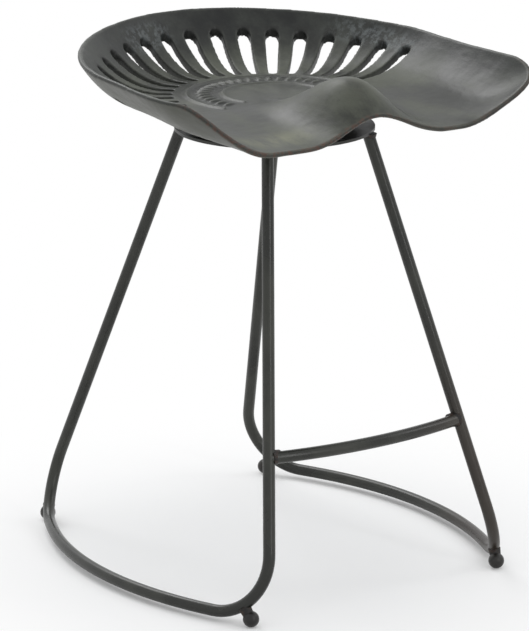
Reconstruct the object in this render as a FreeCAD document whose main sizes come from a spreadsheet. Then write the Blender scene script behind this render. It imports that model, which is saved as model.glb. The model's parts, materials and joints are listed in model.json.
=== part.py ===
"""Tractor seat stool: a pierced cast-iron seat that turns on a ball swivel over a bent-rod base.

Millimetres, +Z up. The origin is on the floor, on the seat's swivel axis. The front is -Y.
"""
import FreeCAD, Part
import math
import os

from FreeCAD import Placement, Rotation, Vector

# Driving dimensions, in millimetres and degrees
SIZES = {
    # Round rod of the base
    "rod_diameter": 12,
    "leg_top_out_front": 60.5,
    "leg_top_ahead": 74.5,
    "leg_top_out_back": 57,
    "leg_top_behind": 77.5,
    "front_corner_out": 144.5,
    "front_corner_ahead": 198,
    "back_corner_out": 130,
    "back_corner_behind": 243,
    "bow_corner_out": 233,
    "bow_corner_behind": 15,
    "runner_height": 10,
    "bend_radius": 54,
    # Footrest
    "footrest_height": 158.8,
    "footrest_bow": 15,
    # Ball feet and welds
    "foot_diameter": 16,
    "foot_weld_gap": 1.5,
    "foot_inset": 3.3,
    "foot_weld_ball_radius": 4.9,
    "foot_weld_rod_radius": 6.4,
    "foot_weld_bite": 3.5,
    "footrest_weld_start": 2,
    "footrest_weld_length": 10.5,
    "footrest_weld_radius": 8,
    "leg_weld_radius": 8.8,
    "leg_weld_height": 3.6,
    "weld_lip": 0.6,
    # Round top plate
    "plate_underside": 442.4,
    "plate_diameter": 200,
    "plate_thickness": 3,
    # Ball swivel
    "swivel_plate_thickness": 3,
    "lower_swivel_diameter": 130,
    "upper_swivel_diameter": 178,
    "ball_diameter": 8,
    "ball_circle_radius": 34,
    "ball_count": 12,
    "race_depth": 1,
    "race_clearance": 0.3,
    "cage_thickness": 1.6,
    "cage_width": 14,
    "rivet_diameter": 16,
    "rivet_flange_diameter": 26,
    "rivet_flange_thickness": 2,
    "rivet_end_play": 0.3,
    "pivot_clearance": 0.05,
    "plate_bore_diameter": 30,
    # Fasteners
    "base_bolt_diameter": 6,
    "base_bolt_circle_radius": 55,
    "seat_bolt_diameter": 8,
    "seat_bolt_circle_radius": 76,
    "bolt_count": 4,
    "head_height_ratio": 0.65,
    "head_corner_ratio": 0.93,
    "nut_height_ratio": 0.8,
    "nut_corner_ratio": 0.96,
    "bolt_tip_room": 1.5,
    "bolt_clearance": 0.25,
    "thread_clearance": 0.05,
    "washer_thickness": 1.6,
    "boss_diameter": 24,
    "boss_height": 11.4,
    "boss_bore_depth": 10,
    # Cast seat, measured from the swivel axis
    "seat_thickness": 8.4,
    "rim_thickness": 5.4,
    "rim_taper_share": 0.2,
    "flat_radius": 20,
    "seat_back_reach": 185.9,
    "seat_half_width": 195.4,
    "seat_side_power": 6,
    "right_wing_flare": 2.5,
    "left_wing_flare": 9,
    "wing_flare_angle": 125,
    "seat_front_reach": 175.3,
    "right_corner_power": 12.5,
    "left_corner_power": 5.2,
    "nose_setback": 4,
    "nose_setback_width": 55,
    # Heights of the seat's rim over its floor
    "rim_back_rise": 52.9,
    "rim_side_rise": 35.5,
    "lobe_drop": 12.2,
    "nose_rise": 9.4,
    # Angles from the back where the rim's height changes
    "rim_side_angle": 120,
    "lobe_start_angle": 122.4,
    "right_lobe_full_angle": 150,
    "left_lobe_full_angle": 144,
    "nose_start_angle": 154.2,
    # Wall between the floor and the rim
    "wall_foot_radius": 104.2,
    "wall_power": 2.38,
    "side_power": 2.56,
    "lobe_power": 3.63,
    "side_power_start": 20,
    "side_power_full": 80,
    "lobe_power_start": 81,
    "lobe_power_full": 138,
    # Floor and pommel
    "floor_drop": 10.7,
    "floor_drop_start": 31,
    "floor_drop_end": 150,
    "pommel_rise": 46.9,
    "pommel_half_width": 44.4,
    "pommel_power": 2.25,
    "pommel_start": 21,
    "pommel_crest": 128.6,
    "pommel_fall": 74.6,
    "pommel_nose_share": 0.24,
    # Slots in the seat's wall, from the right side to the left
    "slot_count": 18,
    "slot_first_angle": 84.2,
    "slot_pitch": 10.02,
    "slot_inner_radius": 101.2,
    "slot_back_margin": 12.1,
    "slot_side_margin": 15.1,
    "slot_outer_width": 13,
    "slot_inner_width": 7.6,
    # Raised rings round the middle of the seat
    "outer_ring_radius": 88,
    "inner_ring_radius": 51.8,
    "ring_section_radius": 2.1,
    "ring_sink": 0.3,
    "ring_half_angle": 112,
    # Samples of the seat's surfaces
    "samples_round": 120,
    "samples_across": 14,
    "samples_edge": 6,
    "level_tolerance": 0.01,
}

doc = FreeCAD.newDocument("tractor_seat_stool")
sheet = doc.addObject("Spreadsheet::Sheet", "Sizes")
for row, (alias, value) in enumerate(SIZES.items(), start=1):
    sheet.set("A%d" % row, alias)
    sheet.set("B%d" % row, str(value))
    sheet.setAlias("B%d" % row, alias)
doc.recompute()

nodes = []


def size(alias):
    """One driving dimension, as a number."""
    return float(sheet.get(alias))


def feature(kind, name, place=None, **formulas):
    """An object of the document whose properties follow the sheet."""
    item = doc.addObject(kind, name)
    if place is not None:
        item.Placement = place
    for prop, formula in formulas.items():
        item.setExpression(prop.replace("__", "."), formula)
    return item


def shaped(name, shape):
    """A feature whose shape comes from the functions below."""
    item = doc.addObject("Part::Feature", name)
    item.Shape = shape
    return item


def cut(name, base, tool):
    """The base less the tool."""
    item = doc.addObject("Part::Cut", name)
    item.Base = base
    item.Tool = tool
    return item


def fused(name, parts):
    """Several solids as one."""
    item = doc.addObject("Part::MultiFuse", name)
    item.Shapes = parts
    return item


def group(name, parts):
    """Several solids kept apart in one object."""
    item = doc.addObject("Part::Compound", name)
    item.Links = parts
    return item


def node(item, label):
    """Mark an object as one sub-part of the stool."""
    item.Label = label
    nodes.append(item)
    return item


def at(x=0.0, y=0.0, z=0.0):
    """An upright placement."""
    return Placement(Vector(x, y, z), Rotation())


def ring_places(count, radius, z, first_angle=45.0):
    """Placements evenly spaced on a circle round the swivel axis."""
    places = []
    for index in range(int(count)):
        angle = math.radians(first_angle + 360.0 * index / count)
        places.append(at(radius * math.cos(angle), radius * math.sin(angle), z))
    return places


# Heights of the stack between the base and the seat
plate_top = size("plate_underside") + size("plate_thickness")
lower_swivel_top = plate_top + size("swivel_plate_thickness")
ball_centre = lower_swivel_top - size("race_depth") + size("ball_diameter") / 2
upper_swivel_underside = ball_centre + size("ball_diameter") / 2 - size("race_depth")
upper_swivel_top = upper_swivel_underside + size("swivel_plate_thickness")
seat_floor = upper_swivel_top + size("boss_height") + size("seat_thickness")


# Bent rods

def rounded_path(points, radii):
    """Straight runs through the points, joined by tangent arcs. A radius of None is as large as fits."""
    reach = []
    for before, corner, after, radius in zip(points, points[1:], points[2:], radii):
        turn = (corner - before).getAngle(after - corner)
        reach.append(None if radius is None else radius * math.tan(turn / 2))
    for index, distance in enumerate(reach):
        if distance is None:
            room_before = (points[index + 1] - points[index]).Length - reach[index - 1]
            room_after = (points[index + 2] - points[index + 1]).Length - reach[index + 1]
            reach[index] = 0.98 * min(room_before, room_after)
    edges = []
    start = points[0]
    for before, corner, after, distance in zip(points, points[1:], points[2:], reach):
        enter = corner + (before - corner).normalize() * distance
        leave = corner + (after - corner).normalize() * distance
        half_turn = (corner - before).getAngle(after - corner) / 2
        radius = distance / math.tan(half_turn)
        inward = ((enter + leave) * 0.5 - corner).normalize()
        middle = corner + inward * (radius / math.cos(half_turn) - radius)
        edges.append(Part.LineSegment(start, enter).toShape())
        edges.append(Part.Arc(enter, middle, leave).toShape())
        start = leave
    edges.append(Part.LineSegment(start, points[-1]).toShape())
    return Part.Wire(edges)


def swept_rod(name, wire):
    """A round rod along a path."""
    path = shaped(name + "_path", wire)
    first = wire.OrderedEdges[0]
    direction = first.tangentAt(first.FirstParameter)
    start = first.valueAt(first.FirstParameter)
    place = Placement(start, Rotation(Vector(0, 0, 1), direction))
    section = feature("Part::Circle", name + "_section", place, Radius="Sizes.rod_diameter / 2")
    rod = doc.addObject("Part::Sweep", name)
    rod.Sections = [section]
    rod.Spine = (path, ["Edge%d" % (index + 1) for index in range(len(wire.Edges))])
    rod.Solid = True
    return rod


def leg_end(out_name, along_name, sign):
    """Top of a leg, where its centre line meets the plate's underside."""
    return Vector(-size(out_name), sign * size(along_name), size("plate_underside"))


front_top = leg_end("leg_top_out_front", "leg_top_ahead", -1)
back_top = leg_end("leg_top_out_back", "leg_top_behind", 1)
front_corner = Vector(-size("front_corner_out"), -size("front_corner_ahead"), size("runner_height"))
back_corner = Vector(-size("back_corner_out"), size("back_corner_behind"), size("runner_height"))
bow_corner = Vector(-size("bow_corner_out"), size("bow_corner_behind"), size("runner_height"))


def side_frame():
    """Front leg, outward-bowed floor runner and back leg, bent from one rod."""
    overrun = size("rod_diameter")
    front_start = front_top + (front_top - front_corner).normalize() * overrun
    back_end = back_top + (back_top - back_corner).normalize() * overrun
    points = [front_start, front_corner, bow_corner, back_corner, back_end]
    bend = size("bend_radius")
    rod = swept_rod("left_rod", rounded_path(points, [bend, None, bend]))
    # The legs are sawn level where they meet the plate
    saw = feature("Part::Box", "level_cut", Length="2 * Sizes.plate_diameter",
                  Width="2 * Sizes.plate_diameter", Height="4 * Sizes.rod_diameter",
                  Placement__Base__x="-Sizes.plate_diameter", Placement__Base__y="-Sizes.plate_diameter",
                  Placement__Base__z="Sizes.plate_underside")
    return cut("left_side", rod, saw)


def mirrored(item, name):
    """The same piece on the other side of the stool."""
    twin = doc.addObject("Part::Mirroring", name)
    twin.Source = item
    twin.Base = Vector(0, 0, 0)
    twin.Normal = Vector(1, 0, 0)
    return twin


left_side = node(side_frame(), "left_side_frame")
right_side = node(mirrored(left_side, "right_side"), "right_side_frame")


# Footrest bar

def point_on_leg(top, corner, height):
    """The leg's centre line at a height."""
    share = (top.z - height) / (top.z - corner.z)
    return top + (corner - top) * share


left_joint = point_on_leg(front_top, front_corner, size("footrest_height"))
right_joint = Vector(-left_joint.x, left_joint.y, left_joint.z)
bow_point = Vector(0, left_joint.y - size("footrest_bow"), left_joint.z)
footrest_rod = swept_rod("footrest_rod", Part.Wire([Part.Arc(left_joint, bow_point, right_joint).toShape()]))
saddles = []
for joint, sign in ((left_joint, 1), (right_joint, -1)):
    # The bar's ends are coped to the straight legs
    run = front_top - front_corner
    upward = Vector(sign * run.x, run.y, run.z).normalize()
    start = joint - upward * (2 * size("rod_diameter"))
    saddles.append(feature("Part::Cylinder", "cope", Placement(start, Rotation(Vector(0, 0, 1), upward)),
                           Radius="Sizes.rod_diameter / 2", Height="4 * Sizes.rod_diameter"))
footrest = node(cut("footrest", footrest_rod, group("copes", saddles)), "footrest_bar")


# Ball feet, each beside the middle of a bend

def foot_place(top, corner):
    """Centre of a ball that stands on the floor beside the bend, and the nearest point of the rod's middle."""
    up = (top - corner).normalize()
    along = (bow_corner - corner).normalize()
    half_turn = (math.pi - up.getAngle(along)) / 2
    bend_centre = corner + (up + along).normalize() * (size("bend_radius") / math.cos(half_turn))
    inward = up.cross(along).normalize()
    inward = inward if inward.x > 0 else inward * -1
    level = Vector(0, 0, 1).cross(inward).normalize()
    steep = inward.cross(level)
    level = level if level.dot(corner - bend_centre) > 0 else level * -1
    apart = (size("rod_diameter") + size("foot_diameter")) / 2 + size("foot_weld_gap")
    inset = size("foot_inset")
    reach = size("bend_radius") + math.sqrt(apart ** 2 - inset ** 2)
    fall = (size("foot_diameter") / 2 - bend_centre.z - inward.z * inset) / steep.z
    in_plane = steep * fall + level * math.sqrt(reach ** 2 - fall ** 2)
    nearest = bend_centre + in_plane * (size("bend_radius") / reach)
    return bend_centre + inward * inset + in_plane, nearest


foot_beads = []
for end, top, corner in (("front", front_top, front_corner), ("back", back_top, back_corner)):
    for side, sign in (("left", 1), ("right", -1)):
        centre, nearest = foot_place(top, corner)
        toward_rod = (nearest - centre).normalize()
        for point in (centre, toward_rod):
            point.x = sign * point.x
        name = "%s_%s_foot" % (end, side)
        ball = node(feature("Part::Sphere", name, Placement(centre, Rotation()),
                            Radius="Sizes.foot_diameter / 2"), name)
        neck = feature("Part::Cone", name + "_neck",
                       Placement(centre, Rotation(Vector(0, 0, 1), toward_rod)),
                       Radius1="Sizes.foot_weld_ball_radius", Radius2="Sizes.foot_weld_rod_radius",
                       Height="Sizes.foot_diameter / 2 + Sizes.foot_weld_gap + Sizes.foot_weld_bite")
        rod = left_side if side == "left" else right_side
        foot_beads.append(cut(name + "_bead", neck, group(name + "_carriers", [ball, rod])))
node(group("foot_beads", foot_beads), "foot_weld_beads")


# Weld beads at the legs' tops and the footrest's ends
leg_beads = []
for side, sign, rod in (("left", 1, left_side), ("right", -1, right_side)):
    for end, top, corner in (("front", front_top, front_corner), ("back", back_top, back_corner)):
        drop = size("leg_weld_height")
        low = point_on_leg(top, corner, top.z - drop)
        collar = Part.makeLoft([
            Part.Wire(Part.makeCircle(size("rod_diameter") / 2 + size("weld_lip"), low)),
            Part.Wire(Part.makeCircle(size("leg_weld_radius"), top)),
        ], True)
        bead = shaped("%s_%s_leg_collar" % (end, side), collar)
        if sign < 0:
            bead = mirrored(bead, "%s_%s_leg_collar_twin" % (end, side))
        leg_beads.append(cut("%s_%s_leg_bead" % (end, side), bead, rod))
node(group("leg_beads", leg_beads), "leg_weld_beads")

footrest_beads = []
for side, joint, saddle in (("left", left_joint, saddles[0]), ("right", right_joint, saddles[1])):
    inward = Vector(-joint.x, 0, 0).normalize()
    start = joint + inward * size("footrest_weld_start")
    cone = feature("Part::Cone", side + "_footrest_cone",
                   Placement(start, Rotation(Vector(0, 0, 1), inward)),
                   Radius1="Sizes.footrest_weld_radius", Radius2="Sizes.rod_diameter / 2 + Sizes.weld_lip",
                   Height="Sizes.footrest_weld_length")
    trimmed = cut(side + "_footrest_cone_trimmed", cone, saddle)
    footrest_beads.append(cut(side + "_footrest_bead", trimmed, footrest_rod))
node(group("footrest_beads", footrest_beads), "footrest_weld_beads")


# Plates with their bolt holes

def drilled_disc(name, diameter, thickness, z, bore, bolt, bolt_circle, extra=()):
    """A flat round plate with a middle bore and a ring of bolt holes. Sizes are formulas."""
    disc = feature("Part::Cylinder", name + "_disc", Radius="%s / 2" % diameter, Height=thickness)
    disc.Placement = at(z=z)
    tools = [feature("Part::Cylinder", name + "_bore", at(z=z), Radius=bore, Height=thickness)]
    for place in ring_places(size("bolt_count"), size(bolt_circle), z):
        hole = feature("Part::Cylinder", name + "_bolt_hole", place,
                       Radius="Sizes.%s / 2 + Sizes.bolt_clearance" % bolt, Height=thickness)
        tools.append(hole)
    tools.extend(extra)
    return cut(name, disc, group(name + "_tools", tools))


def race(name):
    """The round groove that the balls run in."""
    return feature("Part::Torus", name, at(z=ball_centre), Radius1="Sizes.ball_circle_radius",
                   Radius2="Sizes.ball_diameter / 2 + Sizes.race_clearance")


node(drilled_disc("plate", "Sizes.plate_diameter", "Sizes.plate_thickness", size("plate_underside"),
                  "Sizes.plate_bore_diameter / 2", "base_bolt_diameter", "base_bolt_circle_radius"),
     "top_plate")
pivot_hole = "Sizes.rivet_diameter / 2 + Sizes.pivot_clearance"
node(drilled_disc("lower_swivel", "Sizes.lower_swivel_diameter", "Sizes.swivel_plate_thickness", plate_top,
                  pivot_hole, "base_bolt_diameter", "base_bolt_circle_radius", [race("lower_race")]),
     "swivel_lower_plate")
node(drilled_disc("upper_swivel", "Sizes.upper_swivel_diameter", "Sizes.swivel_plate_thickness",
                  upper_swivel_underside, pivot_hole, "seat_bolt_diameter", "seat_bolt_circle_radius",
                  [race("upper_race")]),
     "swivel_upper_plate")


# Balls, their cage and the centre rivet
balls = []
pockets = []
cage_bottom = ball_centre - size("cage_thickness") / 2
for place in ring_places(size("ball_count"), size("ball_circle_radius"), ball_centre, 0.0):
    balls.append(feature("Part::Sphere", "bearing_ball", place, Radius="Sizes.ball_diameter / 2"))
    pocket_place = at(place.Base.x, place.Base.y, cage_bottom)
    pockets.append(feature("Part::Cylinder", "cage_pocket", pocket_place,
                           Radius="Sizes.ball_diameter / 2 + Sizes.race_clearance",
                           Height="Sizes.cage_thickness"))
node(group("balls", balls), "bearing_balls")
cage_disc = feature("Part::Cylinder", "cage_disc", at(z=cage_bottom), Height="Sizes.cage_thickness",
                    Radius="Sizes.ball_circle_radius + Sizes.cage_width / 2")
pockets.append(feature("Part::Cylinder", "cage_bore", at(z=cage_bottom), Height="Sizes.cage_thickness",
                       Radius="Sizes.ball_circle_radius - Sizes.cage_width / 2"))
node(cut("cage", cage_disc, group("cage_tools", pockets)), "ball_cage")

rivet_top = upper_swivel_top + size("rivet_end_play")
flange_thickness = size("rivet_flange_thickness")
rivet_shank = feature("Part::Cylinder", "rivet_shank", at(z=plate_top - flange_thickness),
                      Radius="Sizes.rivet_diameter / 2")
rivet_shank.Height = rivet_top - plate_top + 2 * flange_thickness
rivet_parts = [rivet_shank]
for flange_z in (plate_top - flange_thickness, rivet_top):
    flange = feature("Part::Cylinder", "rivet_flange", at(z=flange_z),
                     Radius="Sizes.rivet_flange_diameter / 2", Height="Sizes.rivet_flange_thickness")
    rivet_parts.append(flange)
node(fused("rivet", rivet_parts), "swivel_rivet")


# Hexagon bolts, washers and weld nuts

def hex_bolt(name, place, diameter, head_z, tip_z, head_below=True):
    """A hexagon bolt that points up, its head's seat at head_z."""
    head_height = size("head_height_ratio") * diameter
    head_place = at(place.Base.x, place.Base.y, head_z - head_height)
    head = doc.addObject("Part::Prism", name + "_head")
    head.Placement = head_place
    head.Polygon = 6
    head.Circumradius = size("head_corner_ratio") * diameter
    head.Height = head_height
    shank = doc.addObject("Part::Cylinder", name + "_shank")
    shank.Placement = head_place
    shank.Radius = diameter / 2
    shank.Height = tip_z - head_z + head_height
    return fused(name, [head, shank])


def washer(name, place, diameter, z, thickness):
    """A flat washer."""
    hole_radius = diameter / 2 + size("bolt_clearance")
    shape = Part.makeCylinder(diameter, thickness).cut(Part.makeCylinder(hole_radius, thickness))
    item = shaped(name, shape)
    item.Placement = at(place.Base.x, place.Base.y, z)
    return item


def weld_nut(name, place, diameter, z):
    """A hexagon nut welded to the lower swivel plate."""
    nut_height = size("nut_height_ratio") * diameter
    blank = doc.addObject("Part::Prism", name + "_blank")
    blank.Placement = at(place.Base.x, place.Base.y, z)
    blank.Polygon = 6
    blank.Circumradius = size("nut_corner_ratio") * diameter
    blank.Height = nut_height
    bore = doc.addObject("Part::Cylinder", name + "_bore")
    bore.Placement = blank.Placement
    bore.Radius = diameter / 2 + size("thread_clearance")
    bore.Height = nut_height
    return cut(name, blank, bore)


base_bolts = []
base_washers = []
weld_nuts = []
bolt_size = size("base_bolt_diameter")
washer_thickness = size("washer_thickness")
nut_top = lower_swivel_top + size("nut_height_ratio") * bolt_size
for place in ring_places(size("bolt_count"), size("base_bolt_circle_radius"), 0.0):
    seat_z = size("plate_underside") - washer_thickness
    base_bolts.append(hex_bolt("base_bolt", place, bolt_size, seat_z, nut_top))
    base_washers.append(washer("base_washer", place, bolt_size, seat_z, washer_thickness))
    weld_nuts.append(weld_nut("weld_nut", place, bolt_size, lower_swivel_top))
node(group("base_bolt_set", base_bolts), "base_bolts")
node(group("base_washer_set", base_washers), "base_bolt_washers")
node(group("weld_nut_set", weld_nuts), "swivel_weld_nuts")

seat_bolts = []
seat_washers = []
bolt_size = size("seat_bolt_diameter")
bolt_tip = upper_swivel_top + size("boss_bore_depth") - size("bolt_tip_room")
for place in ring_places(size("bolt_count"), size("seat_bolt_circle_radius"), 0.0):
    seat_z = upper_swivel_underside - washer_thickness
    seat_bolts.append(hex_bolt("seat_bolt", place, bolt_size, seat_z, bolt_tip))
    seat_washers.append(washer("seat_washer", place, bolt_size, seat_z, washer_thickness))
node(group("seat_bolt_set", seat_bolts), "seat_bolts")
node(group("seat_washer_set", seat_washers), "seat_bolt_washers")


# Cast seat. Angles are measured from the back, in degrees.

def ease(value, low, high):
    """A smooth step from 0 at low to 1 at high."""
    share = min(max((value - low) / (high - low), 0.0), 1.0)
    return share * share * (3 - 2 * share)


def folded(angle):
    """The same angle on the seat's right half."""
    angle = abs(angle) % 360
    return min(angle, 360 - angle)


def wing_size(angle, alias):
    """A size that the right and the left wing of the casting have each for themselves."""
    side = "right_" if angle % 360 < 180 else "left_"
    return size(side + alias)


def rim_radius(angle):
    """Plan outline: a round back, straight sides, rounded wing corners and a front set back at the nose."""
    across = abs(math.sin(math.radians(angle)))
    along = math.cos(math.radians(angle))
    half_width = size("seat_half_width")
    if along > 0:
        back_reach = size("seat_back_reach")
        return back_reach + (half_width - back_reach) * across ** size("seat_side_power")
    half_width += wing_size(angle, "wing_flare") * ease(folded(angle), 90, size("wing_flare_angle"))
    power = wing_size(angle, "corner_power")
    radius = ((across / half_width) ** power + (-along / size("seat_front_reach")) ** power) ** (-1 / power)
    return radius - size("nose_setback") * math.exp(-(radius * across / size("nose_setback_width")) ** 2)


def rim_height(angle):
    """The rim falls from the back to the sides, drops to the thigh lobes and rises to the nose."""
    full = wing_size(angle, "lobe_full_angle")
    angle = folded(angle)
    rise = size("rim_back_rise")
    rise -= (size("rim_back_rise") - size("rim_side_rise")) * ease(angle, 0, size("rim_side_angle"))
    to_lobe = ease(angle, size("lobe_start_angle"), full)
    rise -= (size("rim_side_rise") + size("lobe_drop")) * to_lobe
    rise += (size("lobe_drop") + size("nose_rise")) * ease(angle, size("nose_start_angle"), 180)
    return seat_floor + rise


def floor_height(x, y):
    """The seat's floor, with the pommel between the thighs."""
    drop = size("floor_drop") * ease(-y, size("floor_drop_start"), size("floor_drop_end"))
    climb = ease(-y, size("pommel_start"), size("pommel_crest"))
    fall = ease(-y, size("pommel_crest"), size("pommel_crest") + size("pommel_fall"))
    kept = 1 - (1 - size("pommel_nose_share")) * fall
    ridge = math.exp(-abs(x / size("pommel_half_width")) ** size("pommel_power"))
    return seat_floor - drop + size("pommel_rise") * ridge * climb * kept


def wall_curve(angle):
    """How late the wall turns up between the floor and the rim."""
    angle = folded(angle)
    power = size("wall_power")
    power += (size("side_power") - power) * ease(angle, size("side_power_start"), size("side_power_full"))
    power += (size("lobe_power") - power) * ease(angle, size("lobe_power_start"), size("lobe_power_full"))
    return power


def top_point(angle, radius):
    """A point of the seat's upper surface."""
    rim = rim_radius(angle)
    sine = math.sin(math.radians(angle))
    cosine = math.cos(math.radians(angle))
    wall = size("wall_foot_radius")
    share = min(max((radius - wall) / (rim - wall), 0.0), 1.2)
    lift = rim_height(angle) - floor_height(rim * sine, rim * cosine)
    height = floor_height(radius * sine, radius * cosine) + lift * share ** wall_curve(angle)
    return Vector(radius * sine, radius * cosine, height)


def top_normal(angle, radius):
    """The upward normal of the seat's upper surface."""
    step = 0.5
    outward = top_point(angle, radius) - top_point(angle, radius - step)
    turn = math.degrees(step / radius)
    sideways = top_point(angle + turn, radius) - top_point(angle - turn, radius)
    normal = sideways.cross(outward).normalize()
    return normal if normal.z > 0 else normal * -1


def closed_surface(rows):
    """A smooth surface through rows of points, closed round the swivel axis."""
    count = len(rows[0])
    around = [index / count for index in range(count + 1)]
    rings = []
    for points in rows:
        ring = Part.BSplineCurve()
        ring.interpolate(Points=points, PeriodicFlag=True, Parameters=around)
        rings.append(ring)
    across = [index / (len(rows) - 1) for index in range(len(rows))]
    columns = []
    for column_points in zip(*[ring.getPoles() for ring in rings]):
        column = Part.BSplineCurve()
        column.interpolate(Points=list(column_points), Parameters=across)
        columns.append(column)
    surface = Part.BSplineSurface()
    surface.buildFromPolesMultsKnots(
        [column.getPoles() for column in columns], rings[0].getMultiplicities(),
        columns[0].getMultiplicities(), rings[0].getKnots(), columns[0].getKnots(),
        True, False, rings[0].Degree, columns[0].Degree)
    return surface.toShape()


def seat_pan():
    """The cast pan: upper and lower surfaces, thinner at the rim and joined there by a rounded edge."""
    flat = size("flat_radius")
    around = int(size("samples_round"))
    angles = [360.0 * index / around for index in range(around)]
    row_count = int(size("samples_across"))
    taper = size("rim_taper_share")
    upper_rows = []
    lower_rows = []
    for row in range(row_count + 1):
        share = row / row_count
        thinned = max(share - 1 + taper, 0.0) / taper
        thickness = size("seat_thickness") + (size("rim_thickness") - size("seat_thickness")) * thinned ** 2
        upper = []
        lower = []
        for angle in angles:
            radius = flat + (rim_radius(angle) - flat) * share
            point = top_point(angle, radius)
            upper.append(point)
            lower.append(point - top_normal(angle, radius) * thickness)
        upper_rows.append(upper)
        lower_rows.append(lower)
    edge_rows = []
    bulge_steps = int(size("samples_edge"))
    for step in range(bulge_steps + 1):
        lean = math.pi * step / bulge_steps
        edge = []
        for angle, over, under in zip(angles, upper_rows[-1], lower_rows[-1]):
            middle = (over + under) * 0.5
            half = (over - under) * 0.5
            outward = over - top_point(angle, rim_radius(angle) - 1)
            outward = (outward - half * (outward.dot(half) / half.dot(half))).normalize()
            edge.append(middle + half * math.cos(lean) + outward * (half.Length * math.sin(lean)))
        edge_rows.append(edge)
    faces = [closed_surface(rows) for rows in (upper_rows, edge_rows, lower_rows)]
    for face, row in ((faces[0], upper_rows[0]), (faces[2], lower_rows[0])):
        level = row[0].z
        near = size("level_tolerance")
        rims = [edge for edge in face.Edges if edge.isClosed() and edge.BoundBox.ZLength < near]
        inner = [edge for edge in rims if abs(edge.BoundBox.ZMin - level) < near]
        faces.append(Part.Face(Part.Wire(inner[0])))
    shell = Part.makeShell(faces)
    shell.sewShape()
    return Part.makeSolid(shell)


def slot_cutter(angle):
    """A radial slot, wider at its outer end, that stops short of the rim."""
    inner = size("slot_inner_width") / 2
    outer = size("slot_outer_width") / 2
    side_share = ease(folded(angle), size("side_power_start"), size("side_power_full"))
    margin = size("slot_back_margin") + (size("slot_side_margin") - size("slot_back_margin")) * side_share
    start = size("slot_inner_radius") + inner
    end = rim_radius(angle) - margin - outer
    lean = math.asin((outer - inner) / (end - start))
    side_y = math.cos(lean)
    side_x = -math.sin(lean)

    def rim_point(centre, radius, sign):
        return Vector(centre + radius * side_x, sign * radius * side_y, 0)

    edges = [
        Part.LineSegment(rim_point(start, inner, 1), rim_point(end, outer, 1)).toShape(),
        Part.Arc(rim_point(end, outer, 1), Vector(end + outer, 0, 0), rim_point(end, outer, -1)).toShape(),
        Part.LineSegment(rim_point(end, outer, -1), rim_point(start, inner, -1)).toShape(),
        Part.Arc(rim_point(start, inner, -1), Vector(start - inner, 0, 0),
                 rim_point(start, inner, 1)).toShape(),
    ]
    low = seat_floor - 3 * size("seat_thickness")
    height = size("rim_back_rise") + 5 * size("seat_thickness")
    cutter = Part.Face(Part.Wire(edges)).extrude(Vector(0, 0, height))
    cutter.Placement = Placement(Vector(0, 0, low), Rotation(Vector(0, 0, 1), 90 - angle))
    return cutter


def raised_ring(radius):
    """A half-round bead cast on the floor, open towards the pommel."""
    half_angle = size("ring_half_angle")
    floor = Vector(0, 0, seat_floor - size("ring_sink"))
    ring = Part.makeTorus(radius, size("ring_section_radius"), floor, Vector(0, 0, 1),
                          -180, 180, 2 * half_angle)
    ring.rotate(Vector(0, 0, 0), Vector(0, 0, 1), 90 - half_angle)
    return ring


pan = shaped("pan", seat_pan())
cutters = []
for index in range(int(size("slot_count"))):
    cutters.append(slot_cutter(size("slot_first_angle") - index * size("slot_pitch")))
pierced = cut("pierced_pan", pan, shaped("slot_cutters", Part.makeCompound(cutters)))
castings = [pierced]
for radius_name in ("outer_ring_radius", "inner_ring_radius"):
    castings.append(shaped(radius_name.replace("_radius", ""), raised_ring(size(radius_name))))
bores = []
for place in ring_places(size("bolt_count"), size("seat_bolt_circle_radius"), upper_swivel_top):
    boss = feature("Part::Cylinder", "boss", place, Radius="Sizes.boss_diameter / 2")
    boss.Height = size("boss_height") + size("seat_thickness") / 2
    castings.append(boss)
    bores.append(feature("Part::Cylinder", "boss_bore", place, Height="Sizes.boss_bore_depth",
                         Radius="Sizes.seat_bolt_diameter / 2 + Sizes.thread_clearance"))
node(cut("seat_casting", fused("seat_blank", castings), group("boss_bores", bores)), "seat")

doc.recompute()
for item in doc.Objects:
    if "Invalid" in item.State or "Error" in item.State:
        raise RuntimeError("%s failed: %s" % (item.Name, item.State))
for item in nodes:
    if item.Shape.isNull() or not item.Shape.isValid() or not item.Shape.Solids:
        raise RuntimeError("%s has no valid solid" % item.Label)

os.makedirs("parts", exist_ok=True)
for item in nodes:
    item.Shape.exportStep("parts/%s.step" % item.Label)
    print(item.Label, len(item.Shape.Solids), round(item.Shape.Volume, 1))
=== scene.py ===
"""Dressed model of a tractor seat stool: cast seat, bent black rods, round plate and ball swivel."""
import json
import math

import bmesh
import bpy
import numpy as np
from mathutils import Matrix, Vector, noise


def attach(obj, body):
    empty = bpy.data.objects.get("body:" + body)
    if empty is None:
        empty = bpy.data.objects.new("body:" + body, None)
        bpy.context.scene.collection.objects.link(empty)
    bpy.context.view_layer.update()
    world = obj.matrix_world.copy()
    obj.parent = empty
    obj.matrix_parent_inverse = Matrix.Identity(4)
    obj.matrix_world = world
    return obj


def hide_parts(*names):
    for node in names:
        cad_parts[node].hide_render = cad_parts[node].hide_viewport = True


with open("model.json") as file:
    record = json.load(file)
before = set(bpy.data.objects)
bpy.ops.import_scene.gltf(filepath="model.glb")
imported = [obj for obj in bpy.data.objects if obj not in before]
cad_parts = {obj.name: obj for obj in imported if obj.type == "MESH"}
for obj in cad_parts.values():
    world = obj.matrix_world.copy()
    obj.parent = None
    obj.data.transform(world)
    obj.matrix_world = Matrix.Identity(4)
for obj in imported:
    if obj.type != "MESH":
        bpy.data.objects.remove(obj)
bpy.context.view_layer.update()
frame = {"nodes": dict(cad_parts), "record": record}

MM = 0.001
SEAT_BODY = "swivel_seat"

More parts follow.
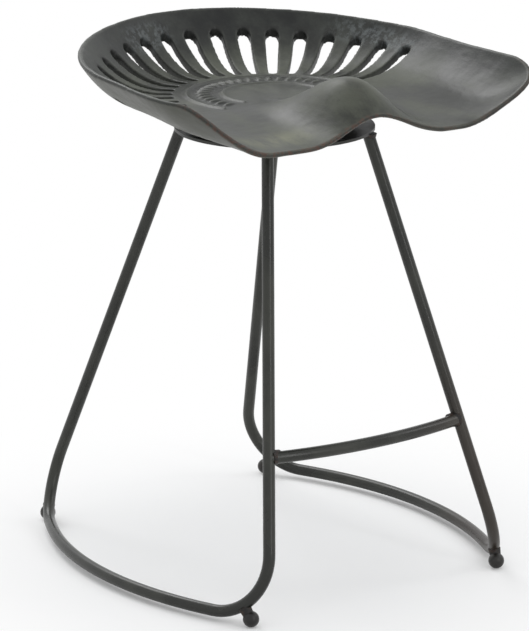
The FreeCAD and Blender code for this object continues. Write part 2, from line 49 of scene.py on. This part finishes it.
# The camera that took the photograph, found from the feet, the legs and the round plate
CAMERA_PLACE = (-2.0537, -2.9253, 1.2265)
CAMERA_TURN = math.radians(-34.91)
CAMERA_DOWN = math.radians(15.30)
CAMERA_CLIP = (0.1, 60.0)
PHOTO_FOCAL_PIXELS = 3675.28
PHOTO_HEIGHT_PIXELS = 631
SENSOR = 36.0

# Floor: metres from the swivel axis where the shadow starts to fade and where it is gone
FLOOR_HALF_SIZE = 8.0
FLOOR_COLOUR = (0.93, 0.93, 0.93, 1.0)
FLOOR_ROUGHNESS = 0.9
FLOOR_SHADOW_REACH = (0.10, 0.50)

# Studio dome: it brightens between two heights of the direction, 0 at the horizon and 1 overhead
DOME_HEIGHTS = (0.30, 0.95)
DOME_STRENGTHS = (0.06, 1.35)
DOME_COLOUR = (0.98, 0.99, 1.0, 1.0)
WHITE_STRENGTH = 1.0

# Soft boxes: name, place, the point it faces, width, height and power
LAMPS = (
    ("key_back", (0.2, 2.05, 2.45), (0, 0, 0.4), 1.3, 1.3, 24.0),
    ("key_side", (2.2, -0.9, 1.9), (0, 0, 0.3), 0.6, 1.0, 5.0),
    ("strip", (0.35, -2.6, 1.3), (0, 0, 0.3), 0.16, 1.6, 9.0),
)

# Seat mesh
WELD_DISTANCE = 0.002 * MM
SEAT_VOXEL = 1.5 * MM
SMOOTH_ROUNDS = 7
SMOOTH_STEPS = (0.5, -0.52)
SWELLS = ((0.45 * MM, 38 * MM, 1.0), (0.12 * MM, 9 * MM, 2.0))     # height, wavelength and seed
SKIN_INSET = 0.25 * MM

# Seat features as the CAD model has them; angles are in degrees from the back, clockwise from above
SEAT_FLOOR = 477.2 * MM
BAR_COUNT = 26
BAR_END_ANGLE = 106.0
BAR_RADIUS = 70.0 * MM
BAR_HALF_SIZE = (3.1 * MM, 8.5 * MM, 2.6 * MM)
BAR_SEGMENTS = (16, 10)
RING_RADII = (51.8 * MM, 88.0 * MM)
SLOT_COUNT = 18
SLOT_FIRST_ANGLE = 84.2
SLOT_PITCH = 10.02
SLOT_INNER_RADIUS = 101.2 * MM
SLOT_BACK_END = 173.8 * MM
SLOT_SIDE_END = 180.3 * MM
SLOT_END_ANGLES = (20.0, 80.0)
SLOT_HALF_WIDTHS = (3.8 * MM, 6.5 * MM)

# Where the seat's masks start and where they are full, or where they are full and where they are gone
NEAR_ROUNDS = 6
WIDE_ROUNDS = 24
RIDGE_WEAR_AND_HIGHLIGHT_HEIGHTS = (0.10 * MM, 0.45 * MM)
# Depths where the painted shade in hollows starts and where it is full; the band round the bars gets
# painted shade too
PAINTED_HOLLOW_SHADE_DEPTHS = (0.25 * MM, 1.3 * MM)
BAND_EDGE = 5 * MM
BAND_ANGLES = (109.0, 113.0)
BAND_HEIGHTS = (SEAT_FLOOR + 0.5 * MM, SEAT_FLOOR + 1.8 * MM)
BAND_PAINTED_SHADE_SHARE = 0.75
SLOT_MARGIN = 1.2 * MM
SLOT_EDGE = 1.5 * MM
SLOT_INNER_EDGE = 2 * MM
UPPER_SLOPES = (-0.15, 0.15)
# Painted light on the left underside: metres out to the left where it starts and where it is full
PAINTED_LIGHT_UNDERSIDE_REACH = (0.0, 120 * MM)
# Heights where the painted shade up the walls starts and where it is full
PAINTED_WALL_SHADE_HEIGHTS = (SEAT_FLOOR + 4 * MM, SEAT_FLOOR + 30 * MM)
POMMEL_START = (20 * MM, 60 * MM)
POMMEL_HALF_WIDTHS = (60 * MM, 90 * MM)
LIP_START = (120 * MM, 150 * MM)
LIP_HEIGHTS = (0.05 * MM, 0.4 * MM)
RUST_FADE = (-20 * MM, 30 * MM)
RUST_FADE_SHARE = 0.6
# Painted shade on the rim's outer, sideways-facing edge: its radii and slopes
RIM_RADII = (140 * MM, 155 * MM)
RIM_SLOPES_UNDER = (-0.45, -0.10)
RIM_SLOPES_OVER = (0.30, 0.52)
# Painted highlights: two arcs under the rim and, below, a spot on the pommel
PAINTED_HIGHLIGHT_ARCS = (                          # angle, its full and gone offsets, radius
    (72.0, (6.0, 24.0), 180 * MM),
    (-14.0, (4.0, 14.0), 172 * MM),
)
PAINTED_HIGHLIGHT_HALF_WIDTHS = (4 * MM, 14 * MM)
PAINTED_HIGHLIGHT_SPOT = (27 * MM, -137 * MM)
PAINTED_HIGHLIGHT_SPOT_RADII = (3 * MM, 9 * MM)
PALE_SPOT = (-95 * MM, -140 * MM)
PALE_RADII = (40 * MM, 22 * MM)
PALE_PEAK = 1.2

# Seat finish: shades are screen values from 0 to 255
CLOUD_SHARES = (0.55, 0.45)
CLOUD_SPAN = (0.38, 0.64)
SEAT_FLOOR_SHADES = ((36, 38, 33), (78, 81, 70))
# The walls in painted shade: the same iron as the floor of the seat, darker where less light falls
SEAT_WALL_PAINTED_SHADES = ((28, 30, 29), (60, 63, 58))
SEAT_FLECK = (40, 41, 39)
SEAT_LAYERS = (                         # mask, share, shade, and the noise with its span that breaks it up
    # painted light: the underside on the left, lighter as if the light falls on it
    ("under", 0.8, (72, 74, 65), None),
    # pale ridges: partly wear, partly painted highlight
    ("ridge_wear_and_highlight", 0.22, (104, 106, 99), None),
    # painted shade in hollows and round the raised bars
    ("painted_hollow_shade", 0.75, (24, 25, 24), None),
    # painted shade in and round the slots
    ("slot_painted_shade", 0.8, (36, 37, 34), None),
    # painted shade on the rim's outer edge
    ("rim_painted_shade", 0.75, (34, 35, 34), None),
    ("rust", 0.6, (88, 58, 46), ("fine", 0.40, 0.62)),
    # painted highlight, broken up by mottle
    ("painted_highlight", 0.28, (150, 158, 160), ("mottle", 0.42, 0.62)),
    ("pale", 0.6, (128, 129, 102), ("streak", 0.38, 0.60)),
)

# Rod finish: metres along x, y and z where the brown shade starts and where it is full
ROD_SHADES = ((36, 37, 33), (56, 57, 51))
ROD_BROWN = (58, 47, 40)
ROD_BROWN_SHARE = 0.6
ROD_BROWN_REACH = ((0.02, 0.14), (0.0, -0.10), (0.30, 0.12))

WELD_SHADES = ((24, 23, 22), (58, 44, 36))

# Plain steels: slot, dark shade, light shade, roughness and metallic
STEELS = (
    ("foot_steel", (26, 25, 24), (46, 43, 40), 0.34, 0.2),
    ("plate_steel", (28, 29, 27), (50, 51, 47), 0.36, 0.2),
    ("swivel_steel", (54, 54, 52), (80, 79, 76), 0.40, 0.7),
    ("bearing_steel", (120, 120, 118), (160, 160, 158), 0.22, 0.9),
    ("fastener_steel", (78, 77, 74), (112, 110, 106), 0.36, 0.8),
)
STEEL_ROUGHNESS_SPREAD = 0.12


# Mesh helpers

def new_object(name, mesh):
    """An object of the scene."""
    item = bpy.data.objects.new(name, mesh)
    bpy.context.scene.collection.objects.link(item)
    return item


def node_mesh(node):
    """A copy of a CAD node's mesh without its normals."""
    mesh = frame["nodes"][node].data.copy()
    if mesh.has_custom_normals:
        item = new_object("scratch", mesh)
        bpy.context.view_layer.objects.active = item
        bpy.ops.mesh.customdata_custom_splitnormals_clear()
        bpy.data.objects.remove(item)
    builder = bmesh.new()
    builder.from_mesh(mesh)
    bmesh.ops.remove_doubles(builder, verts=builder.verts, dist=WELD_DISTANCE)
    builder.to_mesh(mesh)
    builder.free()
    return mesh


def remeshed(name, mesh, voxel):
    """The mesh rebuilt on an even grid, so that its edges can be rounded."""
    item = new_object(name, mesh)
    modifier = item.modifiers.new("even", "REMESH")
    modifier.mode = "VOXEL"
    modifier.voxel_size = voxel
    modifier.adaptivity = 0.0
    graph = bpy.context.evaluated_depsgraph_get()
    even = bpy.data.meshes.new_from_object(item.evaluated_get(graph))
    bpy.data.objects.remove(item)
    return even


def mesh_arrays(mesh):
    """Vertex places and edge ends as arrays."""
    places = np.empty(len(mesh.vertices) * 3)
    mesh.vertices.foreach_get("co", places)
    ends = np.empty(len(mesh.edges) * 2, dtype=np.int64)
    mesh.edges.foreach_get("vertices", ends)
    return places.reshape(-1, 3), ends.reshape(-1, 2)


def neighbour_count(places, ends):
    """How many neighbours each vertex has, and 1 where it has none."""
    count = np.bincount(ends.ravel(), minlength=len(places)).astype(float)
    count[count == 0] = 1.0
    return count


def neighbour_mean(values, ends, count):
    """The mean of each vertex's neighbours."""
    total = np.zeros_like(values)
    np.add.at(total, ends[:, 0], values[ends[:, 1]])
    np.add.at(total, ends[:, 1], values[ends[:, 0]])
    return total / count[:, None]


def smoothed(places, ends, rounds):
    """Smoothing that keeps the volume: a step inwards, then a slightly larger step outwards."""
    count = neighbour_count(places, ends)
    for _ in range(rounds):
        for step in SMOOTH_STEPS:
            places = places + step * (neighbour_mean(places, ends, count) - places)
    return places


def vertex_normals(mesh):
    """Vertex normals as an array."""
    mesh.update()
    normals = np.empty(len(mesh.vertices) * 3)
    mesh.vertex_normals.foreach_get("vector", normals)
    return normals.reshape(-1, 3)


def set_places(mesh, places):
    """Write vertex places back."""
    mesh.vertices.foreach_set("co", places.ravel())
    mesh.update()


def set_mask(mesh, name, values):
    """A number per vertex that a material can read."""
    layer = mesh.attributes.new(name, "FLOAT", "POINT")
    layer.data.foreach_set("value", values.astype(np.float32))


def stand_out(mesh, places, ends, rounds):
    """How far each vertex stands out of the surface smoothed over its surroundings."""
    count = neighbour_count(places, ends)
    level = places
    for _ in range(rounds):
        level = neighbour_mean(level, ends, count)
    return ((places - level) * vertex_normals(mesh)).sum(axis=1)


def rough(places, wavelength, seed):
    """Smooth noise between about -1 and 1 at each place."""
    shift = Vector((seed * 3.1, seed * 7.7, seed * 1.3))
    return np.array([noise.noise(Vector(place) / wavelength + shift) for place in places])


def rising(values, start, full):
    """A smooth run from 0 at start to 1 at full."""
    share = np.clip((values - start) / (full - start), 0.0, 1.0)
    return share * share * (3.0 - 2.0 * share)


def falling(values, full, gone):
    """A smooth run from 1 at full to 0 at gone."""
    return rising(-values, -gone, -full)


# Material helpers

class Finish:
    """A node material with a few short ways to build it."""

    def __init__(self, name):
        self.material = bpy.data.materials.new(name)
        self.material.use_nodes = True
        self.tree = self.material.node_tree
        self.shader = self.tree.nodes["Principled BSDF"]
        self.place = self.tree.nodes.new("ShaderNodeTexCoord").outputs["Object"]

    def link(self, source, target):
        """Join an output to an input, or set the input to a number or colour."""
        if isinstance(source, bpy.types.NodeSocket):
            self.tree.links.new(source, target)
        else:
            target.default_value = source

    def noise(self, wavelength, detail, roughness, seed, stretch=(1, 1, 1)):
        """Noise of a wavelength in metres."""
        mapping = self.tree.nodes.new("ShaderNodeMapping")
        mapping.inputs["Scale"].default_value = [axis / wavelength for axis in stretch]
        mapping.inputs["Location"].default_value = (seed, seed * 0.7, seed * 1.9)
        self.link(self.place, mapping.inputs["Vector"])
        texture = self.tree.nodes.new("ShaderNodeTexNoise")
        texture.inputs["Scale"].default_value = 1.0
        texture.inputs["Detail"].default_value = detail
        texture.inputs["Roughness"].default_value = roughness
        self.link(mapping.outputs["Vector"], texture.inputs["Vector"])
        return texture.outputs["Fac"]

    def attribute(self, name):
        """A vertex mask."""
        reader = self.tree.nodes.new("ShaderNodeAttribute")
        reader.attribute_name = name
        return reader.outputs["Fac"]

    def span(self, value, low, high, out_low=0.0, out_high=1.0):
        """The value's run from low to high, as out_low to out_high."""
        remap = smooth_range(self.tree, (low, high), (out_low, out_high))
        self.link(value, remap.inputs["Value"])
        return remap.outputs["Result"]

    def maths(self, operation, first, second):
        """Two values combined."""
        combine = self.tree.nodes.new("ShaderNodeMath")
        combine.operation = operation
        self.link(first, combine.inputs[0])
        self.link(second, combine.inputs[1])
        return combine.outputs[0]

    def mix(self, share, first, second):
        """A colour between two others."""
        blend = self.tree.nodes.new("ShaderNodeMix")
        blend.data_type = "RGBA"
        self.link(share, blend.inputs["Factor"])
        self.link(first, blend.inputs[6])
        self.link(second, blend.inputs[7])
        return blend.outputs[2]

    def axis(self, index):
        """One coordinate of the place, in metres."""
        split = self.tree.nodes.new("ShaderNodeSeparateXYZ")
        self.link(self.place, split.inputs[0])
        return split.outputs[index]

    def bump(self, height, distance, strength, under=None):
        """Relief of a depth in metres, over another relief if given."""
        relief = self.tree.nodes.new("ShaderNodeBump")
        relief.inputs["Distance"].default_value = distance
        relief.inputs["Strength"].default_value = strength
        self.link(height, relief.inputs["Height"])
        if under is not None:
            self.link(under, relief.inputs["Normal"])
        return relief.outputs["Normal"]

    def surface(self, **values):
        """Set the shader's inputs by name, with _ for a space."""
        for name, value in values.items():
            self.link(value, self.shader.inputs[name.replace("_", " ")])
        return self.material


def smooth_range(tree, ends, out_ends):
    """A node that takes one range of values to another, smoothly at both ends."""
    remap = tree.nodes.new("ShaderNodeMapRange")
    remap.interpolation_type = "SMOOTHSTEP"
    remap.inputs["From Min"].default_value, remap.inputs["From Max"].default_value = ends
    remap.inputs["To Min"].default_value, remap.inputs["To Max"].default_value = out_ends
    return remap


def background_rays(tree):
    """1 for the rays that show the background as it is: seen directly, in gloss or through glass."""
    rays = tree.nodes.new("ShaderNodeLightPath")
    seen = rays.outputs["Is Camera Ray"]
    for kind in ("Is Glossy Ray", "Is Transmission Ray"):
        either = tree.nodes.new("ShaderNodeMath")
        either.operation = "MAXIMUM"
        tree.links.new(seen, either.inputs[0])
        tree.links.new(rays.outputs[kind], either.inputs[1])
        seen = either.outputs[0]
    return seen


def colour(red, green, blue):
    """A colour from its 0 to 255 screen values."""
    linear = []
    for channel in (red, green, blue):
        share = channel / 255.0
        linear.append(share / 12.92 if share <= 0.04045 else ((share + 0.055) / 1.055) ** 2.4)
    return (*linear, 1.0)


def put(item, material):
    """Give an object one material."""
    item.data.materials.clear()
    item.data.materials.append(material)


# Finishes

def seat_finish():
    """Dark pewter patina on cast iron. Painted shade goes up the walls, in the hollows, in and round the
    slots and on the rim's outer edge. Painted light goes on the left underside. Pale ridges are partly
    wear and partly painted highlight. There are painted highlights under the rim and on the pommel, and a
    little rust at the lip.
    """
    finish = Finish("seat_iron")
    broad = finish.noise(85 * MM, detail=5.0, roughness=0.6, seed=3.0)
    noises = {
        "streak": finish.noise(26 * MM, detail=5.0, roughness=0.65, seed=8.0, stretch=(1.0, 0.30, 1.0)),
        "fine": finish.noise(4.5 * MM, detail=4.0, roughness=0.6, seed=1.0),
        "mottle": finish.noise(6 * MM, detail=3.0, roughness=0.7, seed=12.0, stretch=(1.0, 1.0, 0.5)),
    }
    cloud = finish.maths("ADD", finish.maths("MULTIPLY", broad, CLOUD_SHARES[0]),
                         finish.maths("MULTIPLY", noises["streak"], CLOUD_SHARES[1]))
    cloud_share = finish.span(cloud, *CLOUD_SPAN)
    floor_shade = finish.mix(cloud_share, *[colour(*shade) for shade in SEAT_FLOOR_SHADES])
    painted_wall_shade = finish.mix(cloud_share, *[colour(*shade) for shade in SEAT_WALL_PAINTED_SHADES])
    # Painted shade: the walls take the darker, shaded copy of the iron's colour
    base = finish.mix(finish.attribute("wall_painted_shade"), floor_shade, painted_wall_shade)
    fleck_share = finish.span(noises["fine"], 0.55, 0.75, out_low=0.0, out_high=0.35)
    base = finish.mix(fleck_share, base, colour(*SEAT_FLECK))
    for mask, share, shade, breaks in SEAT_LAYERS:
        cover = finish.attribute(mask)
        if breaks is not None:
            name, low, high = breaks
            cover = finish.maths("MULTIPLY", cover, finish.span(noises[name], low, high))
        base = finish.mix(finish.maths("MULTIPLY", cover, share), base, colour(*shade))
    pits = finish.bump(finish.noise(1.6 * MM, detail=3.0, roughness=0.6, seed=5.0),
                       distance=0.10 * MM, strength=0.5)
    relief = finish.bump(finish.noise(11 * MM, detail=4.0, roughness=0.6, seed=2.0),
                         distance=0.6 * MM, strength=0.5, under=pits)
    gloss = finish.span(cloud, 0.35, 0.68, out_low=0.34, out_high=0.50)
    return finish.surface(Base_Color=base, Roughness=gloss, Metallic=0.0, Specular_IOR_Level=0.32,
                          Normal=relief)


def rod_finish():
    """Near-black satin on steel, browner low on the right."""
    finish = Finish("black_rod")
    broad = finish.noise(60 * MM, detail=4.0, roughness=0.6, seed=6.0)
    fine = finish.noise(3 * MM, detail=4.0, roughness=0.6, seed=4.0)
    base = finish.mix(finish.span(broad, 0.35, 0.68), *[colour(*shade) for shade in ROD_SHADES])
    brown = ROD_BROWN_SHARE
    for index, (start, full) in enumerate(ROD_BROWN_REACH):
        brown = finish.maths("MULTIPLY", brown, finish.span(finish.axis(index), start, full))
    base = finish.mix(brown, base, colour(*ROD_BROWN))
    gloss = finish.span(broad, 0.3, 0.7, out_low=0.24, out_high=0.36)
    relief = finish.bump(fine, distance=0.08 * MM, strength=0.5)
    return finish.surface(Base_Color=base, Roughness=gloss, Metallic=0.0, Specular_IOR_Level=0.4,
                          Normal=relief)


def weld_finish():
    """Blackened weld metal with a breath of rust."""
    finish = Finish("weld_metal")
    fine = finish.noise(4 * MM, detail=5.0, roughness=0.65, seed=9.0)
    base = finish.mix(finish.span(fine, 0.42, 0.66), *[colour(*shade) for shade in WELD_SHADES])
    return finish.surface(Base_Color=base, Roughness=0.5, Metallic=0.0, Specular_IOR_Level=0.35,
                          Normal=finish.bump(fine, distance=0.4 * MM, strength=0.8))


def plain_steel(name, dark, light, roughness, metallic):
    """Dull steel with faint clouding."""
    finish = Finish(name)
    broad = finish.noise(20 * MM, detail=4.0, roughness=0.6, seed=2.5)
    fine = finish.noise(1.2 * MM, detail=3.0, roughness=0.6, seed=1.5)
    base = finish.mix(finish.span(broad, 0.35, 0.65), colour(*dark), colour(*light))
    gloss = finish.span(broad, 0.3, 0.7, out_low=roughness, out_high=roughness + STEEL_ROUGHNESS_SPREAD)
    return finish.surface(Base_Color=base, Roughness=gloss, Metallic=metallic,
                          Normal=finish.bump(fine, distance=0.1 * MM, strength=0.4))


# Seat

def raised_bars():
    """Plain raised bars in the band between the seat's two rings."""
    builder = bmesh.new()
    segments, rings = BAR_SEGMENTS
    for index in range(BAR_COUNT):
        share = index / (BAR_COUNT - 1)
        angle = math.radians(90.0 + BAR_END_ANGLE - share * 2.0 * BAR_END_ANGLE)
        across, back = BAR_RADIUS * math.cos(angle), BAR_RADIUS * math.sin(angle)
        place = Matrix.Translation((across, back, SEAT_FLOOR))
        turn = Matrix.Rotation(angle - math.pi / 2, 4, "Z")
        scale = Matrix.Diagonal((*BAR_HALF_SIZE, 1.0))
        bmesh.ops.create_uvsphere(builder, u_segments=segments, v_segments=rings, radius=1.0,
                                  matrix=place @ turn @ scale)
    return builder


def band_painted_shade_mask(radius, angle, z):
    """Painted shade on the ground between the two rings, below the tops of the bars."""
    inner, outer = RING_RADII
    band = rising(radius, inner, inner + BAND_EDGE) * falling(radius, outer - BAND_EDGE, outer)
    return band * falling(np.abs(angle), *BAND_ANGLES) * falling(z, *BAND_HEIGHTS)


def slot_painted_shade_mask(radius, angle):
    """Painted shade in the slots and in a narrow margin round them."""
    index = np.clip(np.round((SLOT_FIRST_ANGLE - angle) / SLOT_PITCH), 0, SLOT_COUNT - 1)
    aside = np.abs(radius * np.sin(np.radians(angle - SLOT_FIRST_ANGLE + index * SLOT_PITCH)))
    end = SLOT_BACK_END + (SLOT_SIDE_END - SLOT_BACK_END) * rising(np.abs(angle), *SLOT_END_ANGLES)
    along = np.clip((radius - SLOT_INNER_RADIUS) / (end - SLOT_INNER_RADIUS), 0.0, 1.0)
    narrow, wide = SLOT_HALF_WIDTHS
    half_width = narrow + (wide - narrow) * along
    inside = rising(half_width + SLOT_MARGIN - aside, 0.0, SLOT_EDGE)
    inside *= rising(radius, SLOT_INNER_RADIUS - SLOT_INNER_EDGE, SLOT_INNER_RADIUS)
    return inside * falling(radius, end, end + SLOT_EDGE)


def painted_highlight_mask(x, y, radius, angle):
    """Painted highlights: two arcs under the rim and a spot on the pommel, painted bright."""
    spot = np.hypot(x - PAINTED_HIGHLIGHT_SPOT[0], y - PAINTED_HIGHLIGHT_SPOT[1])
    painted_highlight = falling(spot, *PAINTED_HIGHLIGHT_SPOT_RADII)
    for middle, offsets, arc_radius in PAINTED_HIGHLIGHT_ARCS:
        along = falling(np.abs(angle - middle), *offsets)
        painted_highlight += along * falling(np.abs(radius - arc_radius), *PAINTED_HIGHLIGHT_HALF_WIDTHS)
    return np.clip(painted_highlight, 0.0, 1.0)


def seat_masks(mesh, places, ends):
    """Write the masks that the seat's finish reads."""
    x, y, z = places.T
    radius = np.hypot(x, y)
    angle = np.degrees(np.arctan2(x, y))
    up = vertex_normals(mesh)[:, 2]
    upper = rising(up, *UPPER_SLOPES)
    near = stand_out(mesh, places, ends, NEAR_ROUNDS)
    wide = stand_out(mesh, places, ends, WIDE_ROUNDS)
    pommel = rising(-y, *POMMEL_START) * falling(np.abs(x), *POMMEL_HALF_WIDTHS)
    rust_fade = 1.0 - RUST_FADE_SHARE * rising(x, *RUST_FADE)
    pale_spot = np.hypot((x - PALE_SPOT[0]) / PALE_RADII[0], (y - PALE_SPOT[1]) / PALE_RADII[1])
    masks = {
        "ridge_wear_and_highlight": rising(near, *RIDGE_WEAR_AND_HIGHLIGHT_HEIGHTS),
        "painted_hollow_shade": np.maximum(rising(-wide, *PAINTED_HOLLOW_SHADE_DEPTHS), BAND_PAINTED_SHADE_SHARE * band_painted_shade_mask(radius, angle, z)),
        "slot_painted_shade": slot_painted_shade_mask(radius, angle),
        # painted light on the downward-facing left underside
        "under": (1.0 - upper) * rising(-x, *PAINTED_LIGHT_UNDERSIDE_REACH),
        "wall_painted_shade": rising(z, *PAINTED_WALL_SHADE_HEIGHTS) * (1.0 - pommel) * upper,
        "rust": rising(-y, *LIP_START) * rising(near, *LIP_HEIGHTS) * rust_fade,
        "rim_painted_shade": rising(radius, *RIM_RADII) * rising(up, *RIM_SLOPES_UNDER) * falling(up, *RIM_SLOPES_OVER),
        "painted_highlight": painted_highlight_mask(x, y, radius, angle) * upper,
        "pale": np.clip(PALE_PEAK - pale_spot, 0.0, 1.0) * upper,
    }
    for name, values in masks.items():
        set_mask(mesh, name, values)


def make_seat():
    """The casting with rounded edges, uneven skin and masks for its finish."""
    builder = raised_bars()
    builder.from_mesh(node_mesh("seat"))
    joined = bpy.data.meshes.new("seat_joined")
    builder.to_mesh(joined)
    builder.free()
    mesh = remeshed("seat_even", joined, SEAT_VOXEL)
    places, ends = mesh_arrays(mesh)
    places = smoothed(places, ends, SMOOTH_ROUNDS)
    set_places(mesh, places)
    swell = sum(height * rough(places, wavelength, seed) for height, wavelength, seed in SWELLS)
    places = places + vertex_normals(mesh) * (swell - SKIN_INSET)[:, None]
    set_places(mesh, places)
    seat_masks(mesh, places, ends)
    for polygon in mesh.polygons:
        polygon.use_smooth = True
    seat = new_object("seat_dressed", mesh)
    put(seat, seat_finish())
    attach(seat, SEAT_BODY)
    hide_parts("seat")


# CAD nodes keep their shapes and get better finishes

def dress_nodes():
    """Put a finish on each CAD node that stays in view."""
    finishes = {"black_rod": rod_finish(), "weld_metal": weld_finish()}
    for name, *values in STEELS:
        finishes[name] = plain_steel(name, *values)
    for entry in frame["record"]["subparts"]:
        if entry["material_slot"] in finishes:
            put(frame["nodes"][entry["node"]], finishes[entry["material_slot"]])


# Floor, light and camera

def make_stage():
    """A plain pale floor: white away from the object, and with the object's shadow near it."""
    mesh = bpy.data.meshes.new("floor")
    half = FLOOR_HALF_SIZE
    corners = [(-half, -half, 0), (half, -half, 0), (half, half, 0), (-half, half, 0)]
    mesh.from_pydata(corners, [], [(0, 1, 2, 3)])
    floor = new_object("floor", mesh)
    material = bpy.data.materials.new("floor")
    material.use_nodes = True
    tree = material.node_tree
    shader = tree.nodes["Principled BSDF"]
    shader.inputs["Base Color"].default_value = FLOOR_COLOUR
    shader.inputs["Roughness"].default_value = FLOOR_ROUGHNESS
    shader.inputs["Specular IOR Level"].default_value = 0.0
    white = tree.nodes.new("ShaderNodeEmission")
    white.inputs["Strength"].default_value = WHITE_STRENGTH
    place = tree.nodes.new("ShaderNodeNewGeometry")
    length = tree.nodes.new("ShaderNodeVectorMath")
    length.operation = "LENGTH"
    tree.links.new(place.outputs["Position"], length.inputs[0])
    away = smooth_range(tree, FLOOR_SHADOW_REACH, (0.0, 1.0))
    tree.links.new(length.outputs["Value"], away.inputs["Value"])
    share = tree.nodes.new("ShaderNodeMath")
    share.operation = "MULTIPLY"
    tree.links.new(away.outputs["Result"], share.inputs[0])
    tree.links.new(background_rays(tree), share.inputs[1])
    blend = tree.nodes.new("ShaderNodeMixShader")
    tree.links.new(share.outputs[0], blend.inputs[0])
    tree.links.new(shader.outputs[0], blend.inputs[1])
    tree.links.new(white.outputs[0], blend.inputs[2])
    tree.links.new(blend.outputs[0], tree.nodes["Material Output"].inputs["Surface"])
    floor.data.materials.append(material)


def make_world():
    """A soft studio dome, bright overhead and dim round the horizon, that shows as plain white."""
    world = bpy.data.worlds.new("studio")
    bpy.context.scene.world = world
    world.use_nodes = True
    tree = world.node_tree
    background = tree.nodes["Background"]
    direction = tree.nodes.new("ShaderNodeTexCoord")
    split = tree.nodes.new("ShaderNodeSeparateXYZ")
    tree.links.new(direction.outputs["Generated"], split.inputs[0])
    dome = smooth_range(tree, DOME_HEIGHTS, DOME_STRENGTHS)
    tree.links.new(split.outputs["Z"], dome.inputs["Value"])
    strength = tree.nodes.new("ShaderNodeMix")
    tree.links.new(background_rays(tree), strength.inputs[0])
    tree.links.new(dome.outputs["Result"], strength.inputs[2])
    strength.inputs[3].default_value = WHITE_STRENGTH
    tree.links.new(strength.outputs[0], background.inputs["Strength"])
    background.inputs["Color"].default_value = DOME_COLOUR


def area_light(name, place, target, width, height, power):
    """A soft box that faces a point."""
    data = bpy.data.lights.new(name, "AREA")
    data.shape = "RECTANGLE"
    data.size = width
    data.size_y = height
    data.energy = power
    lamp = new_object(name, data)
    lamp.location = place
    lamp.rotation_mode = "QUATERNION"
    lamp.rotation_quaternion = (Vector(target) - Vector(place)).to_track_quat("-Z", "Y")


def make_camera():
    """The photograph's viewpoint."""
    data = bpy.data.cameras.new("camera")
    data.sensor_width = SENSOR
    data.lens = PHOTO_FOCAL_PIXELS * SENSOR / PHOTO_HEIGHT_PIXELS
    data.clip_start, data.clip_end = CAMERA_CLIP
    camera = new_object("camera", data)
    camera.location = CAMERA_PLACE
    camera.rotation_euler = (math.pi / 2 - CAMERA_DOWN, 0.0, CAMERA_TURN)
    bpy.context.scene.camera = camera


bpy.context.scene.view_settings.view_transform = "Standard"
make_camera()
make_world()
make_stage()
for lamp_values in LAMPS:
    area_light(*lamp_values)
make_seat()
dress_nodes()
